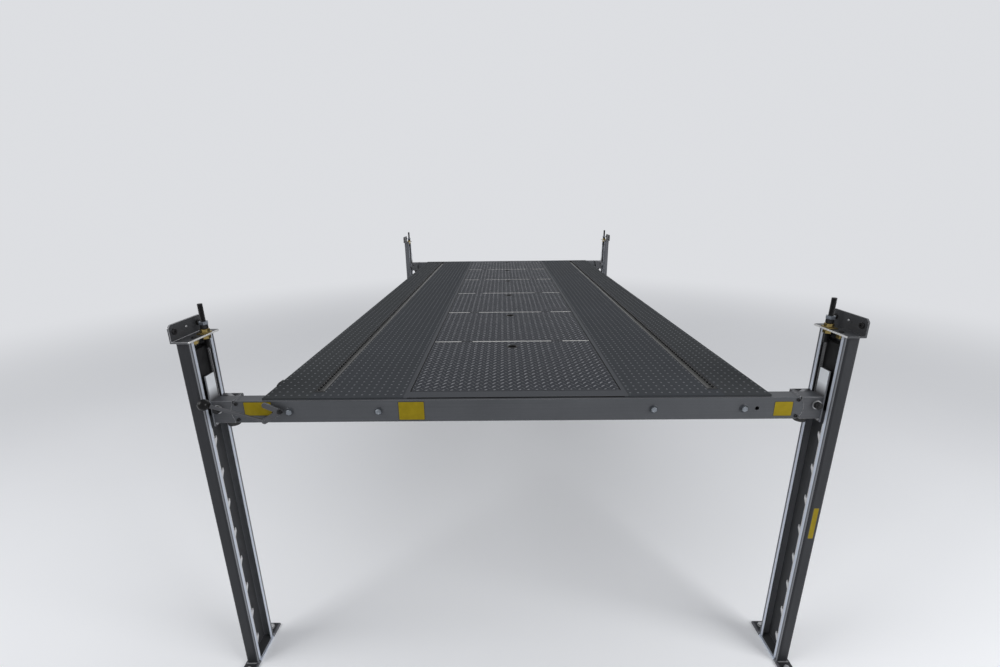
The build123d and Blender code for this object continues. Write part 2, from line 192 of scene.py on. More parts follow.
def drawn_metal(
    name, dull, bright, rough, along, metallic=0.85, pitch=1.4 * mm, patch=180 * mm, shine=0.5
):
    """Metal with fine lines along its length and slow patches of handling and cleaning."""
    finish = Finish(name, metallic, rough, shine)
    lines = finish.lines(along, pitch)
    patches = finish.cloud(patch, 4.0)
    specks = finish.cloud(9 * mm, 5.0)
    share = lines * 0.45 + patches * 0.5 + specks * 0.15
    finish.tone = finish.blend(share, dull, bright)
    finish.feed(Base_Color=finish.tone)
    finish.feed(Roughness=patches * 0.16 + lines * 0.12 + specks * 0.06 + (rough - 0.17))
    finish.relief(lines + specks * 0.4, 0.05 * mm, 0.6)
    return finish


def put_down():
    """Leaves edit mode and lets go of whatever is in hand."""
    if bpy.context.object and bpy.context.object.mode != "OBJECT":
        bpy.ops.object.mode_set(mode="OBJECT")
    bpy.ops.object.select_all(action="DESELECT")


def alone(piece):
    """Takes one piece in hand, with nothing else selected."""
    put_down()
    piece.select_set(True)
    bpy.context.view_layer.objects.active = piece


def open_up(kind="FACE", action="SELECT"):
    """Opens the piece in hand for work on its faces, edges or points, all picked or none."""
    bpy.ops.object.mode_set(mode="EDIT")
    bpy.ops.mesh.select_mode(type=kind)
    bpy.ops.mesh.select_all(action=action)


def shut():
    """Ends the work on an opened piece."""
    bpy.ops.object.mode_set(mode="OBJECT")


def settle(piece):
    """Puts a piece's place, turn and size into its mesh."""
    alone(piece)
    bpy.ops.object.transform_apply(location=True, rotation=True, scale=True)


def modify(piece, kind, **settings):
    """Adds a modifier to a piece and applies it."""
    alone(piece)
    bpy.ops.object.modifier_add(type=kind)
    modifier = piece.modifiers[-1]
    for key, value in settings.items():
        setattr(modifier, key, value)
    bpy.ops.object.modifier_apply(modifier=modifier.name)


def finish_off(piece, name, body, slot, *finishes, nodes=(), spread=35, crisp=False):
    """Names and paints a piece, settles its place in its mesh and hands it to its body."""
    settle(piece)
    piece.name = piece.data.name = name
    if finishes:
        while len(piece.data.materials) < len(finishes):
            piece.data.materials.append(None)
        for index, finish in enumerate(finishes):
            piece.data.materials[index] = finish.material
    bpy.ops.object.shade_smooth_by_angle(angle=math.radians(spread))
    if crisp:
        modify(piece, "WEIGHTED_NORMAL", keep_sharp=True)
    if body:
        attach(piece, body)
    if nodes:
        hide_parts(*nodes)
    return piece


def eased(node, kind, body, slot, edge, stock, edge_finish=None):
    """A CAD solid with its sharp edges eased, and a second finish on those edges where one is
    given.
    """
    piece = bpy.data.objects.new(node + "_skin", frame["nodes"][node].data.copy())
    bpy.context.scene.collection.objects.link(piece)
    alone(piece)
    piece.data.materials.clear()
    bpy.ops.mesh.customdata_custom_splitnormals_clear()
    open_up()
    bpy.ops.mesh.remove_doubles(threshold=0.01 * mm)
    bpy.ops.mesh.dissolve_limited(angle_limit=math.radians(0.6))
    shut()
    piece.data.materials.append(stock.material)
    if edge_finish:
        piece.data.materials.append(edge_finish.material)
    modify(
        piece, "BEVEL", width=edge, segments=2, limit_method="ANGLE",
        angle_limit=math.radians(38), material=1 if edge_finish else -1,
    )
    return finish_off(piece, f"{node}_{kind}", body, slot, nodes=[node], crisp=True)


def post_metal(name, dull, bright, web_tone, side_tone):
    """Drawn post metal, painted lighter inside the channel as painted light, with painted highlight
    bands on the lips.
    """
    stock = drawn_metal(name, dull, bright, 0.46, "Z", 0.4, shine=0.25)
    from_middle = abs(stock.across("Y") - post_y)
    # Painted light: the channel's inside is painted lighter, its inner flange faces most, standing
    # in for the light that gets into the mouth.
    inside = (from_middle < flange_inside) * (stock.across() < web_inside_x)
    streaks = stock.lines("Z", 9 * mm)
    inside_painted_light = stock.blend(from_middle > flange_inside - 3 * mm, web_tone, side_tone)
    streaked = stock.blend(streaks, inside_painted_light, stock.tone)
    stock.tone = stock.blend(inside, stock.tone, stock.blend(0.6, streaked, inside_painted_light))
    # Painted highlight: bright and dark bands across the lips' deck-facing faces stand in for the
    # highlights along them.
    stops = [(place / lip_reach, tone) for place, tone in lip_highlight_tones]
    painted_lip_highlight = stock.node("ValToRGB", {"stops": stops}, {0: from_middle * (1 / lip_reach)})
    stock.stain(stock.across() < post_lip_x, painted_lip_highlight)
    return stock


# The front posts are painted darker than the rear ones, as painted shade.
shaded_front_post_stock = post_metal(
    "post_front", (0.0175, 0.0182, 0.020), (0.051, 0.0525, 0.058), (0.12, 0.123, 0.13),
    (0.34, 0.35, 0.37),
)
rear_post_stock = post_metal(
    "post_rear", (0.07, 0.073, 0.08), (0.16, 0.165, 0.18), (0.16, 0.165, 0.17), (0.34, 0.35, 0.37),
)
rubbed_edge = drawn_metal("edge_rubbed", (0.20, 0.205, 0.22), (0.40, 0.41, 0.44), 0.36, "Z")
for corner, (across, along) in corners.items():
    stock = shaded_front_post_stock if along < 0 else rear_post_stock
    eased(f"post_{corner}", "channel", "posts", "post_aluminium", 1.0 * mm, stock, rubbed_edge)

# Foot bolts and foot welds: M12 zinc-plated hex bolts with washers hold each foot plate down,
# and a fillet weld runs along the two sides of the channel.
foot_top = 10 * mm
foot_bolt_x = 1126.7 * mm
foot_bolt_reach = 100 * mm
foot_weld_from = 1110.5 * mm
foot_weld_to = 1148.5 * mm


def outwards():
    """Turns all the faces of the opened piece outwards, and shuts it."""
    bpy.ops.mesh.select_all(action="SELECT")
    bpy.ops.mesh.normals_make_consistent(inside=False)
    shut()


def turned(rings, sides=24):
    """A piece turned about Z on the lathe: rings are (radius, height) in mm, from the foot up."""
    (radius, height), *rest = rings
    put_down()
    bpy.ops.mesh.primitive_circle_add(vertices=sides, radius=radius * mm, fill_type="NGON")
    piece = bpy.context.object
    open_up()
    bpy.ops.transform.translate(value=(0, 0, height * mm))
    for next_radius, next_height in rest:
        step = {"value": (0, 0, (next_height - height) * mm)}
        bpy.ops.mesh.extrude_region_move(TRANSFORM_OT_translate=step)
        share = next_radius / radius
        bpy.ops.transform.resize(value=(share, share, 1), center_override=(0, 0, 0))
        radius, height = next_radius, next_height
    outwards()
    return piece


def joined(pieces):
    """Makes several pieces one."""
    alone(pieces[0])
    for piece in pieces[1:]:
        piece.select_set(True)
    if len(pieces) > 1:
        bpy.ops.object.join()
    return pieces[0]


def copied(piece):
    """A second piece like the first, taken in hand."""
    alone(piece)
    bpy.ops.object.duplicate()
    return bpy.context.object


def set_out(pattern, places):
    """Copies a pattern piece to every place, given as (where, turned how), and joins them."""
    copies = []
    for where, turn in places:
        copy = copied(pattern)
        copy.location = where
        copy.rotation_euler = turn
        settle(copy)
        copies.append(copy)
    bpy.data.objects.remove(pattern)
    return joined(copies)


def hex_bolt(flats, head, washer, thick, end=0.0, seat=None, metal=None):
    """A hex head on its washer, in mm, facing up from height 0, perhaps with a bolt's end."""
    corner = flats / math.sqrt(3)
    top = thick + head
    pieces = [
        turned([(washer, 0), (washer, 0.7 * thick), (0.94 * washer, thick), (0.5 * washer, thick)]),
        turned([
            (corner, thick), (corner, top - 0.12 * head), (0.92 * corner, top),
            (0.55 * corner, top), (0.5 * corner, top - 0.06 * head),
        ], 6),
    ]
    if end:
        pieces.append(turned([(end, top - 0.1 * head), (end, top + 3), (0.8 * end, top + 4.2)], 16))
    if seat:
        for piece, finish in zip(pieces, (seat, metal, metal)):
            piece.data.materials.append(finish.material)
    return joined(pieces)


bolt_steel = drawn_metal("bolt_zinc", (0.26, 0.265, 0.27), (0.50, 0.50, 0.51), 0.38, "Z")
foot_places = []
for across, along in corners.values():
    for reach in (-foot_bolt_reach, foot_bolt_reach):
        where = (across * foot_bolt_x, along * post_y + reach, foot_top)
        foot_places.append((where, (0, 0, 0.3 + reach)))
finish_off(
    set_out(hex_bolt(19, 7.5, 12, 2.5), foot_places), "foot_bolts", "posts", "bright_steel",
    bolt_steel,
)


def repeat(piece, count, step, **settings):
    """Sets a piece out in a row, with that step between them."""
    modify(
        piece, "ARRAY", count=count, use_relative_offset=False, use_constant_offset=True,
        constant_offset_displace=step, **settings,
    )


def weld(start, end, size, pitch=2.6 * mm):
    """A fillet weld's overlapping ripples, laid from one point to the other."""
    run = Vector(end) - Vector(start)
    put_down()
    bpy.ops.mesh.primitive_uv_sphere_add(segments=8, ring_count=5, radius=size, location=start)
    ripple = bpy.context.object
    ripple.scale = (0.75, 1, 1)
    ripple.rotation_euler = run.to_track_quat("X", "Z").to_euler()
    settle(ripple)
    count = max(2, round(run.length / pitch))
    repeat(ripple, count, run / (count - 1))
    return ripple


weld_metal = drawn_metal(
    "weld_bead", (0.16, 0.16, 0.165), (0.42, 0.42, 0.43), 0.36, "X", patch=12 * mm
)
foot_welds = []
for across, along in corners.values():
    for y in (along * post_y - post_half, along * post_y + post_half):
        start = (across * foot_weld_from, y, foot_top)
        foot_welds.append(weld(start, (across * foot_weld_to, y, foot_top), 3.6 * mm))
finish_off(joined(foot_welds), "foot_welds", "posts", "post_aluminium", weld_metal)

# Lock racks: strips of bright flat steel with a step every 135 mm, plug-welded in one side of
# each post's mouth. The safety dogs drop onto the steps.
rack_steel = drawn_metal("rack_steel", (0.50, 0.50, 0.51), (0.88, 0.88, 0.89), 0.36, "Z", 0.3)
for corner in corners:
    eased(f"lock_rack_{corner}", "steps", "posts", "bright_steel", 0.6 * mm, rack_steel)

# Top brackets: folded dark-painted steel angles that cap each post, with an upright leg that is
# bolted back. The cap's cut end is bare steel, brightened near white as a painted highlight, and
# the worn edges are painted brighter as highlights. A bolt through the post's flange holds the
# cap down, with a yellow zinc nut below it.
cap_top = 1452 * mm
cap_foot = 1446 * mm
cap_inner_x = 1091.7 * mm
cap_bolt_place = (1109 * mm, 1885 * mm)
wall_leg_x = 1149.7 * mm
wall_bolt_z = 1484 * mm
wall_bolt_reach = 62 * mm
rivet_z = 1485 * mm
bracket_paint = drawn_metal(
    "bracket_paint", (0.032, 0.033, 0.036), (0.088, 0.091, 0.097), 0.45, "Y", 0.35, 3 * mm, 60 * mm,
)
bracket_edge = drawn_metal("bracket_edge", (0.22, 0.22, 0.23), (0.52, 0.52, 0.54), 0.38, "Y")
# The cap's cut end is painted near white on paint and edge alike: bare steel, brightened as a
# painted highlight.
for finish in (bracket_paint, bracket_edge):
    finish.stain(finish.across() < cap_inner_x + 1.4 * mm, (0.86, 0.86, 0.85))
for corner in corners:
    eased(
        f"top_bracket_{corner}", "angle", "posts", "dark_steel", 1.2 * mm, bracket_paint,
        bracket_edge,
    )
yellow_zinc = drawn_metal(
    "yellow_zinc", (0.10, 0.070, 0.022), (0.46, 0.35, 0.13), 0.30, "Z", 0.9, 1 * mm, 9 * mm,
)
black_oxide = drawn_metal(
    "black_oxide", (0.007, 0.007, 0.0075), (0.024, 0.024, 0.025), 0.42, "Z", 0.15, 1 * mm, 9 * mm,
    shine=0.25,
)


def at_corners(x, y, z, turn=(0, 0, 0), inwards=False):
    """A place in each corner, with the turn of a piece that stands there or faces inwards."""
    return [
        ((across * x, along * y, z), (0, -across * math.pi / 2, 0) if inwards else turn)
        for across, along in corners.values()
    ]


def socket_screw(head, height, key):
    """A round socket head with its hexagon socket, in mm, facing up from height 0."""
    return turned([
        (head, 0), (head, height - 1), (head - 1, height), (key, height),
        (0.94 * key, 0.4 * height),
    ], 20)


finish_off(
    set_out(hex_bolt(13, 4, 9, 1.2), at_corners(*cap_bolt_place, cap_top, (0, 0, 0.4))),
    "cap_bolts", "posts", "dark_steel", black_oxide,
)
cap_nut_places = at_corners(*cap_bolt_place, cap_foot, (math.pi, 0, 0.2))
finish_off(
    set_out(hex_bolt(22, 13, 12.4, 1.6, 4), cap_nut_places), "cap_nuts", "posts", "yellow_zinc",
    yellow_zinc,
)
wall_bolt_places = []
for reach in (-wall_bolt_reach, wall_bolt_reach):
    wall_bolt_places += at_corners(wall_leg_x, post_y + reach, wall_bolt_z, inwards=True)
finish_off(
    set_out(socket_screw(10.5, 5, 4), wall_bolt_places), "wall_bolts", "posts", "dark_steel",
    black_oxide,
)
rivet = turned([(4.6, 0), (4.4, 0.8), (3.4, 1.9), (1.4, 2.5)], 16)
finish_off(
    set_out(rivet, at_corners(wall_leg_x, post_y, rivet_z, inwards=True)),
    "wall_rivets", "posts", "bright_steel", bolt_steel,
)

# Cable anchors: each cable ends in a black threaded stud that stands through the cap, with a
# grey jam nut at the top, a black collar, and a yellow zinc washer and nuts that carry the load.
stud_x = 1103.7 * mm
stud_y = 1830 * mm
stud_foot = 1400 * mm
jam_nut_z = 1484.6 * mm
collar_z = 1470.6 * mm
upper_nut_z = 1457 * mm
lower_nut_z = 1433.2 * mm
washer_z = 1454.6 * mm
washer_size = (28.6 * mm, 46 * mm, 4.8 * mm)
washer_shift = 3.6 * mm


def threaded(core, crest, pitch, turns, sides=14):
    """A threaded rod that stands up from height 0, closed at both ends."""
    put_down()
    bpy.ops.mesh.primitive_circle_add(vertices=sides, radius=core, fill_type="NOTHING")
    piece = bpy.context.object
    open_up("EDGE")
    for share in (crest / core, core / crest):
        step = {"value": (0, 0, pitch / 2)}
        bpy.ops.mesh.extrude_edges_move(TRANSFORM_OT_translate=step)
        bpy.ops.transform.resize(value=(share, share, 1), center_override=(0, 0, 0))
    shut()
    repeat(piece, turns, (0, 0, pitch), use_merge_vertices=True, merge_threshold=0.02 * mm)
    close_ends(piece)
    return piece


def close_ends(piece):
    """Fills the open ends of a tube and turns all its faces outwards."""
    alone(piece)
    open_up("EDGE")
    bpy.ops.mesh.fill_holes(sides=0)
    outwards()


def hex_nut(flats, height, bore):
    """A hex nut in mm with chamfered corners and its bore's rim, standing on height 0."""
    corner = flats / math.sqrt(3)
    return turned([
        (0.9 * corner, 0), (corner, 0.08 * height), (corner, 0.92 * height), (0.9 * corner, height),
        (bore * 1.08, height), (bore, 0.94 * height),
    ], 6)


def eased_block(where, size, edge, segments=2):
    """A small block of that size with its edges eased."""
    put_down()
    bpy.ops.mesh.primitive_cube_add(size=1, location=where)
    piece = bpy.context.object
    piece.scale = size
    settle(piece)
    modify(piece, "BEVEL", width=edge, segments=segments)
    return piece


studs = set_out(
    threaded(7.6 * mm, 8.95 * mm, 2.5 * mm, 64), at_corners(stud_x, stud_y, stud_foot)
)
finish_off(
    studs, "anchor_studs_threaded", "posts", "dark_steel", black_oxide, nodes=["anchor_studs"]
)
jam_steel = drawn_metal(
    "jam_grey", (0.10, 0.11, 0.125), (0.26, 0.285, 0.32), 0.34, "Z", patch=20 * mm
)
finish_off(
    set_out(hex_nut(27, 12.4, 9), at_corners(stud_x, stud_y, jam_nut_z, (0, 0, 0.5))),
    "jam_nuts", "posts", "dark_steel", jam_steel,
)
collar = turned([
    (12.4, 0), (13, 0.8), (13, 12.6), (11.6, 13.6), (9.4, 13.6), (9.1, 12.8),
], 28)
finish_off(
    set_out(collar, at_corners(stud_x, stud_y, collar_z)), "stud_collars", "posts", "dark_steel",
    black_oxide,
)
load_nut_places = at_corners(stud_x, stud_y, upper_nut_z) + at_corners(stud_x, stud_y, lower_nut_z)
load_nuts = set_out(hex_nut(27, 12.6, 9), load_nut_places)
washers = [
    eased_block(where, washer_size, 1.2 * mm)
    for where, _ in at_corners(stud_x + washer_shift, stud_y, washer_z)
]
finish_off(
    joined([load_nuts, *washers]), "anchor_nuts_zinc", "posts", "yellow_zinc", yellow_zinc,
    nodes=["anchor_nuts"],
)

# Lift cables: galvanised wire rope of six strands, 9.5 mm thick. Each runs from its stud down
# to the sheave in the platform's corner, round it, and away inside the cross beam.
rope_radius = 4.72 * mm
rope_lay = 62 * mm
sheave_x = 1071.7 * mm
sheave_z = 1185 * mm
run_end_x = 836.4 * mm


def pick(piece, kind, wanted):
    """Opens a piece with only those of its faces or points picked that a test wants."""
    alone(piece)
    open_up(kind, "DESELECT")
    shut()
    for part in piece.data.polygons if kind == "FACE" else piece.data.vertices:
        part.select = wanted(part)
    bpy.ops.object.mode_set(mode="EDIT")


def rope_end(strands=6):
    """The outline of a wire rope's end: a ring pinched in between its strands."""
    put_down()
    bpy.ops.mesh.primitive_circle_add(
        vertices=4 * strands, radius=rope_radius, fill_type="NOTHING"
    )
    piece = bpy.context.object
    pick(piece, "VERT", lambda point: point.index % 4 == 2)
    bpy.ops.transform.resize(value=(0.7, 0.7, 1), center_override=(0, 0, 0))
    shut()
    return piece


wire_rope = drawn_metal(
    "wire_rope", (0.05, 0.05, 0.052), (0.26, 0.26, 0.27), 0.36, "X", 0.6, 0.7 * mm, 15 * mm,
)
# The grooves between the strands are painted dark, as painted shade.
off_x = wire_rope.across() - stud_x
off_y = wire_rope.across("Y") - stud_y
groove_shade_span = {"From Min": (3.6 * mm) ** 2, "From Max": (4.6 * mm) ** 2}
crest = wire_rope.node("MapRange", {}, {"Value": off_x * off_x + off_y * off_y, **groove_shade_span})
wire_rope.feed(Base_Color=wire_rope.blend(crest, (0.012, 0.012, 0.013), wire_rope.tone))
rope_height = stud_foot - sheave_z
straight = rope_end()
modify(
    straight, "SCREW", axis="Z", angle=math.radians(rope_height / rope_lay * 360),
    screw_offset=rope_height, steps=72, render_steps=72, iterations=1, use_normal_calculate=False,
)
close_ends(straight)
cables = finish_off(
    set_out(straight, at_corners(stud_x, stud_y, sheave_z)), "lift_cables_rope", None,
    "bright_steel", wire_rope, nodes=["lift_cables"], spread=60,
)
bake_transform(cables)


def turned_over(piece, x, y):
    """A copy of a piece, turned over to the deck's other side or end where x or y is -1."""
    copy = copied(piece)
    open_up()
    bpy.ops.transform.resize(value=(x, y, 1), center_override=(0, 0, 0))
    outwards()
    return copy


def in_corners(piece):
    """Stands a front right piece in all four corners, as one."""
    copies = [turned_over(piece, across, -along) for across, along in corners.values()]
    bpy.data.objects.remove(piece)
    return joined(copies)


bend = rope_end()
bend.location = (stud_x, -stud_y, sheave_z)
settle(bend)
open_up("EDGE")
bpy.ops.mesh.spin(
    steps=10, angle=-math.pi / 2, center=(sheave_x, -stud_y, sheave_z), axis=(0, 1, 0)
)
bpy.ops.mesh.extrude_edges_move(TRANSFORM_OT_translate={"value": (run_end_x - sheave_x, 0, 0)})
close_ends(bend)
finish_off(
    in_corners(bend), "cable_turns_rope", "platform", "bright_steel", wire_rope,
    nodes=["cable_wraps"], spread=60,
)

# Cross beams: rectangular aluminium tubes under the deck's two ends, with rounded closed ends.
# Flanged bolts hold the runways' rails to them, and small bolts the end boxes.
beam_face_y = 1892 * mm
beam_middle_z = 1173 * mm
rail_bolt_places = (493 * mm, 815 * mm)
end_bolt_x = 1004 * mm
end_bolt_heights = (1142.8 * mm, 1204.6 * mm)
beam_stock = drawn_metal(
    "beam_satin", (0.056, 0.059, 0.064), (0.120, 0.125, 0.135), 0.46, "X", 0.5, shine=0.3
)
beam_edge = drawn_metal("beam_edge", (0.24, 0.245, 0.25), (0.46, 0.465, 0.475), 0.34, "X")
for end in ("front", "rear"):
    eased(f"beam_{end}", "tube", "platform", "frame_aluminium", 2.0 * mm, beam_stock, beam_edge)
beam_bolt_places = []
end_bolt_places = []
for across, along in corners.values():
    turn = (-along * math.pi / 2, 0, 0)
    for x in rail_bolt_places:
        beam_bolt_places.append(((across * x, along * beam_face_y, beam_middle_z), turn))
    for z in end_bolt_heights:
        end_bolt_places.append(((across * end_bolt_x, along * beam_face_y, z), turn))
beam_bolt_steel = drawn_metal(
    "beam_bolt_grey", (0.05, 0.055, 0.062), (0.34, 0.37, 0.41), 0.30, "Z", 0.6, 1 * mm, 10 * mm,
)
beam_bolt_seat = drawn_metal(
    "beam_bolt_seat", (0.025, 0.028, 0.032), (0.080, 0.086, 0.096), 0.38, "Z", 0.5, 1 * mm, 12 * mm,
)
beam_bolt = hex_bolt(19, 7, 15.4, 2.2, seat=beam_bolt_seat, metal=beam_bolt_steel)
finish_off(set_out(beam_bolt, beam_bolt_places), "beam_bolts", "platform", "bright_steel")
finish_off(
    set_out(socket_screw(6.5, 4, 3.4), end_bolt_places), "beam_end_bolts", "platform", "dark_steel",
    black_oxide,
)

# Blank labels: thin yellow film with a dark printed border, stuck on the front beam and on the
# right front post.
label_corner = 5 * mm
label_margin = 2.4 * mm
label_film = 0.35 * mm


def moulded(name, dull, bright, patch, shine=0.5, rough=0.3, scuff=0.3, detail=5.0):
    """Plastic, rubber or film with soft patches of dust and handling."""
    finish = Finish(name, 0.0, rough, shine)
    dust = finish.cloud(patch, detail)
    finish.feed(Base_Color=finish.blend(dust, dull, bright))
    if scuff:
        finish.feed(Roughness=dust * scuff + rough)
    return finish


label_yellow = moulded(
    "label_yellow", (0.21, 0.155, 0.004), (0.37, 0.275, 0.010), 25 * mm, 0.15, scuff=0.25
)
label_border = moulded(
    "label_border", (0.01, 0.01, 0.01), (0.05, 0.045, 0.03), 8 * mm, rough=0.45, scuff=0
)
label_finishes = (label_border, label_yellow)


def label(x_range, y, z_range):
    """A sheet of film on a face that looks forwards, with its border inset all round."""
    middle = (sum(x_range) / 2, y, sum(z_range) / 2)
    put_down()
    bpy.ops.mesh.primitive_plane_add(size=1, location=middle, rotation=(math.pi / 2, 0, 0))
    piece = bpy.context.object
    piece.scale = (x_range[1] - x_range[0], z_range[1] - z_range[0], 1)
    settle(piece)
    open_up()
    bpy.ops.mesh.bevel(offset=label_corner, segments=3, affect="VERTICES")
    bpy.ops.mesh.extrude_region_move(TRANSFORM_OT_translate={"value": (0, -label_film, 0)})
    outwards()
    for finish in label_finishes:
        piece.data.materials.append(finish.material)
    pick(piece, "FACE", lambda face: face.normal.y < -0.9)
    bpy.ops.mesh.inset(thickness=label_margin, depth=0)
    piece.active_material_index = 1
    bpy.ops.object.material_slot_assign()
    shut()
    return piece


beam_labels = [
    label((-423 * mm, -327 * mm), -beam_face_y, (1136 * mm, 1210 * mm)),
    label((-979 * mm, -876 * mm), -beam_face_y, (1157 * mm, 1213 * mm)),
    label((921 * mm, 989 * mm), -beam_face_y, (1141 * mm, 1200 * mm)),
]
post_label = label((1115 * mm, 1138 * mm), -(post_y + post_half), (637 * mm, 777 * mm))
finish_off(joined(beam_labels), "beam_labels", "platform", "black_plastic", *label_finishes)
finish_off(post_label, "post_label", "posts", "black_plastic", *label_finishes)

# End boxes: welded steel boxes at the beams' ends, painted dark, each slotted at the top for
# the cable and carrying a sheave on an axle bolt.
box_weld_x = 1009.6 * mm
box_weld_z = 1213.6 * mm
box_weld_from = 1888 * mm
box_weld_to = 1845 * mm
box_front = 38
box_paint = drawn_metal(
    "box_paint", (0.044, 0.046, 0.050), (0.115, 0.118, 0.127), 0.42, "X", 0.4, 2.5 * mm, 50 * mm,
    shine=0.35,
)
# The eased edges are worn to bare steel and painted brighter still, as a painted edge highlight.
box_edge = drawn_metal("box_edge", (0.30, 0.30, 0.31), (0.62, 0.62, 0.64), 0.36, "X")
for corner in corners:
    eased(f"end_box_{corner}", "case", "platform", "dark_steel", 1.4 * mm, box_paint, box_edge)
box_weld_metal = drawn_metal(
    "box_weld", (0.06, 0.062, 0.067), (0.15, 0.154, 0.165), 0.4, "Y", 0.4, patch=12 * mm
)
box_welds = []
for across, along in corners.values():
    start = (across * box_weld_x, along * box_weld_from, box_weld_z)
    end = (across * box_weld_x, along * box_weld_to, box_weld_z)
    box_welds.append(weld(start, end, 4.6 * mm))
finish_off(joined(box_welds), "box_welds", "platform", "dark_steel", box_weld_metal)
sheave_steel = drawn_metal(
    "sheave_steel", (0.20, 0.20, 0.205), (0.44, 0.44, 0.45), 0.34, "Y", 0.9, 1 * mm, 30 * mm,
)
wheel = turned([
    (11, -9.5), (11, -6.5), (22, -6.5), (22, -7.8), (32.7, -7.8), (32.9, -6.6), (28.4, -3.6),
    (27, 0), (28.4, 3.6), (32.9, 6.6), (32.7, 7.8), (22, 7.8), (22, 6.5), (11, 6.5), (11, 9.5),
], 40)
wheel.location = (sheave_x, -stud_y, sheave_z)
axle = turned([(7.8, -38), (7.8, box_front + 17.4), (6.6, box_front + 18)], 20)
axle_nut = turned([
    (16.5, box_front), (16.5, box_front + 2.6), (15.2, box_front + 3), (8.4, box_front + 3),
], 28)
axle_hex = hex_nut(25, 12, 8.2)
axle_hex.location = (sheave_x, -(post_y + (box_front + 3) * mm), sheave_z)
for piece in (axle, axle_nut):
    piece.location = (sheave_x, -post_y, sheave_z)
for piece in (wheel, axle, axle_nut, axle_hex):
    piece.rotation_euler = (math.pi / 2, 0, 0)
    settle(piece)
finish_off(
    in_corners(wheel), "sheave_wheels", "platform", "bright_steel", sheave_steel, nodes=["sheaves"]
)
axle_nut.data.materials.append(bolt_steel.material)
axle_hex.data.materials.append(black_oxide.material)
finish_off(in_corners(joined([axle_nut, axle_hex])), "axle_nuts", "platform", "bright_steel")
finish_off(in_corners(axle), "axles", "platform", "dark_steel", black_oxide)

# Lock dogs: short pawls of dark steel plate on a pivot pin in each end box. They drop onto the
# racks' steps and hold the platform up.
dog_steel = drawn_metal(
    "dog_steel", (0.05, 0.05, 0.052), (0.13, 0.13, 0.135), 0.4, "X", 0.6, 2 * mm, 25 * mm,
)
eased("lock_dogs", "pawls", "platform", "dark_steel", 0.5 * mm, dog_steel, box_edge)

# Carriages: bright aluminium plates that stand in the posts' mouths, each bolted to its end box
# by a neck and a web, and darkened low down as painted shade. Their edges and tops are painted
# darker as painted shade. Black nylon blocks on their backs slide up and down in the posts.
painted_shade_top = 1262 * mm
painted_shade_full = 1218 * mm
carriage_screw_place = (1092.7 * mm, 1882 * mm, 1126 * mm)
carriage_stock = drawn_metal(
    "carriage_bright", (0.84, 0.88, 0.93), (0.95, 0.975, 1.0), 0.40, "Z", 0.2, shine=0.4
)
painted_shade_span = {"From Min": painted_shade_top, "From Max": painted_shade_full}
# Painted shade: the plate darkens towards its foot, where the box shades it.
painted_shade_low = carriage_stock.node(
    "MapRange", {}, {"Value": carriage_stock.place_on("Z"), **painted_shade_span}
)
carriage_stock.stain(painted_shade_low, (0.10, 0.10, 0.105))
carriage_side = drawn_metal(
    "carriage_side", (0.13, 0.133, 0.14), (0.30, 0.305, 0.32), 0.42, "Z", 0.4
)


def repaint(piece, finish, wanted):
    """Gives a finish to the faces that a test picks out."""
    pick(piece, "FACE", wanted)
    piece.data.materials.append(finish.material)
    piece.active_material_index = len(piece.data.materials) - 1
    bpy.ops.object.material_slot_assign()
    shut()


for corner in corners:
    plate = eased(
        f"carriage_{corner}", "plate", "platform", "bright_aluminium", 0.9 * mm, carriage_stock
    )
    # The plate's edges and top, the faces that don't look along X, are painted darker as painted
    # shade.
    repaint(plate, carriage_side, lambda face: abs(face.normal.x) < 0.5)
finish_off(
    set_out(socket_screw(6.5, 4, 2.5), at_corners(*carriage_screw_place, inwards=True)),
    "carriage_screws", "platform", "bright_steel", bolt_steel,
)
nylon = moulded(
    "black_nylon", (0.006, 0.006, 0.0065), (0.026, 0.026, 0.027), 30 * mm, 0.2, 0.32
)
nylon.relief(nylon.cloud(1.2 * mm), 0.05 * mm)
eased("slide_blocks", "nylon", "platform", "black_plastic", 1.6 * mm, nylon)

# Bumpers: moulded black rubber stops under the end boxes, wider at the top, each held up by a
# countersunk screw.
bumper_x = 1046 * mm
rubber = moulded(
    "black_rubber", (0.010, 0.010, 0.010), (0.035, 0.034, 0.033), 22 * mm, rough=0.55, scuff=0.25
)
rubber.relief(rubber.cloud(0.9 * mm), 0.08 * mm)
bumper = turned([
    (5, 1109), (8, 1107), (18, 1106.2), (20.6, 1107.2), (21.8, 1109.6), (22.4, 1115), (25, 1121),
    (30.4, 1126), (30.9, 1127.6), (30.9, 1130.8),
], 32)
bumper.location = (bumper_x, -post_y, 0)
settle(bumper)
finish_off(
    in_corners(bumper), "bumpers_moulded", "platform", "black_rubber", rubber, nodes=["bumpers"]
)

# Runway frames: two aluminium rails along each runway with cross members between them, welded,
# and two bearers under the centre panels.
member_count = 5
member_pitch = 613.7 * mm
member_half = 25 * mm
rail_inner_faces = (513.4 * mm, 786.4 * mm)
rail_weld_heights = (1189 * mm, 1213 * mm)
rail_stock = drawn_metal("rail_mill", (0.16, 0.165, 0.17), (0.34, 0.345, 0.355), 0.42, "Y")
for side in ("left", "right"):
    eased(
        f"runway_frame_{side}", "rails", "platform", "frame_aluminium", 1.5 * mm, rail_stock
    )
eased("bearers", "channels", "platform", "frame_aluminium", 1.5 * mm, rail_stock)
rail_welds = []
for index in range(member_count):
    middle = (index - (member_count - 1) / 2) * member_pitch
    for x in (-rail_inner_faces[0], -rail_inner_faces[1], *rail_inner_faces):
        for y in (middle - member_half, middle + member_half):
            start, end = ((x, y, z) for z in rail_weld_heights)
            rail_welds.append(weld(start, end, 2.6 * mm))
finish_off(joined(rail_welds), "rail_welds", "platform", "frame_aluminium", weld_metal)

